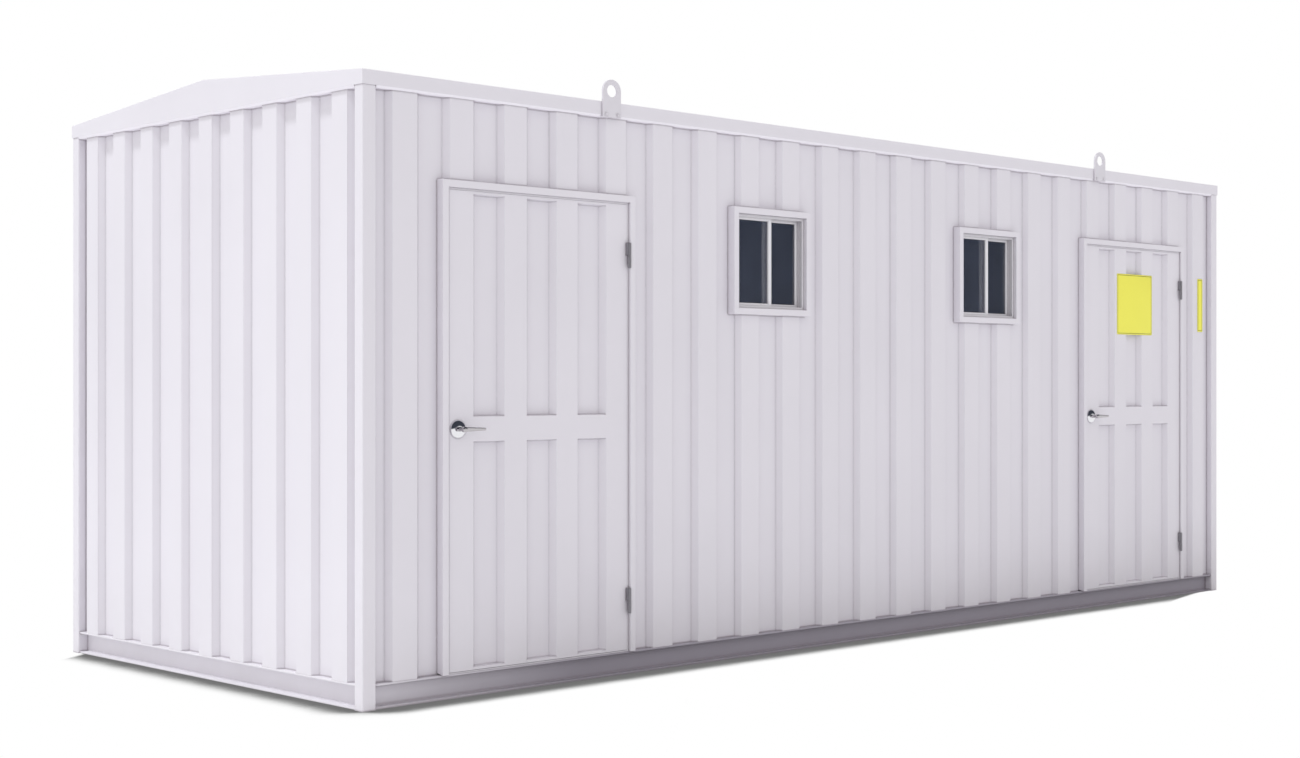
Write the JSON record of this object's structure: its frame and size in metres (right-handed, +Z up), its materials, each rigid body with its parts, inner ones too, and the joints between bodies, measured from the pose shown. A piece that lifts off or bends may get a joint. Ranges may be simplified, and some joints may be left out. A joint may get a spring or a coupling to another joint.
{
  "type": "portable site cabin",
  "caption": "Long white site cabin with ribbed steel walls, a low gable roof, outward-opening doors with lever handles, small sliding windows and lifting lugs.",
  "frame": {"origin": "middle of the cabin's plan at ground level", "axes": "+X along the long front towards the right-hand door, -Y out of the front, +Z up"},
  "size_m": [6.006, 2.558, 2.597],
  "materials": {
    "white_paint": "satin paint",
    "roof_paint": "satin paint",
    "lining": "matt board",
    "floor_board": "matt",
    "primer": "matt primer",
    "hinge_steel": "dull",
    "handle_metal": "satin",
    "window_white": "white powder coat",
    "tinted_glass": "polished"
  },
  "bodies": {
    "cabin": {"base_rail_front": "white_paint", "base_rail_back": "white_paint", "base_rail_left": "white_paint", "base_rail_right": "white_paint", "floor_joists": "primer", "floor_deck": "floor_board", "corner_post_front_left": "white_paint", "corner_post_front_right": "white_paint", "corner_post_back_left": "white_paint", "corner_post_back_right": "white_paint", "top_rails": "primer", "front_cladding": "white_paint", "back_cladding": "white_paint", "left_end_cladding": "white_paint", "right_end_cladding": "white_paint", "front_wall_left": "lining", "front_wall_over_left_door": "lining", "front_wall_middle": "lining", "front_wall_over_right_door": "lining", "front_wall_right": "lining", "back_wall": "lining", "left_end_wall": "lining", "right_end_wall": "lining", "ceiling": "lining", "roof_sheet_front": "roof_paint", "roof_sheet_back": "roof_paint", "ridge_cap": "roof_paint", "fascia_front": "white_paint", "fascia_back": "white_paint", "fascia_left_gable": "white_paint", "fascia_right_gable": "white_paint", "lifting_lug_front_left": "white_paint", "lifting_lug_front_right": "white_paint", "lifting_lug_back_left": "white_paint", "lifting_lug_back_right": "white_paint", "left_door_frame": "white_paint", "right_door_frame": "white_paint", "door_hinge_pins": "hinge_steel", "window_trims": "white_paint", "window_frames": "window_white", "window_sashes": "window_white", "window_glass": "tinted_glass"},
    "left_door": {"left_door_leaf": "white_paint", "left_door_hinge_barrels": "hinge_steel", "left_door_roses": "handle_metal"},
    "left_lever": {"left_door_lever": "handle_metal"},
    "right_door": {"right_door_leaf": "white_paint", "right_door_hinge_barrels": "hinge_steel", "right_door_roses": "handle_metal"},
    "right_lever": {"right_door_lever": "handle_metal"}
  },
  "joints": [
    {"name": "left_door_swing", "type": "hinge", "parent": "cabin", "child": "left_door", "pos_m": [-1.674, -1.258, 1.09], "axis": [0, 0, 1], "range_deg": [0, 110]},
    {"name": "left_lever_turn", "type": "hinge", "parent": "left_door", "child": "left_lever", "pos_m": [-2.556, -1.241, 1.09], "axis": [0, 1, 0], "range_deg": [0, 45], "stiffness_Nm_per_rad": 1, "springref_deg": -34.38},
    {"name": "right_door_swing", "type": "hinge", "parent": "cabin", "child": "right_door", "pos_m": [2.598, -1.258, 1.09], "axis": [0, 0, 1], "range_deg": [0, 110]},
    {"name": "right_lever_turn", "type": "hinge", "parent": "right_door", "child": "right_lever", "pos_m": [1.716, -1.241, 1.09], "axis": [0, 1, 0], "range_deg": [0, 45], "stiffness_Nm_per_rad": 1, "springref_deg": -34.38}
  ]
}
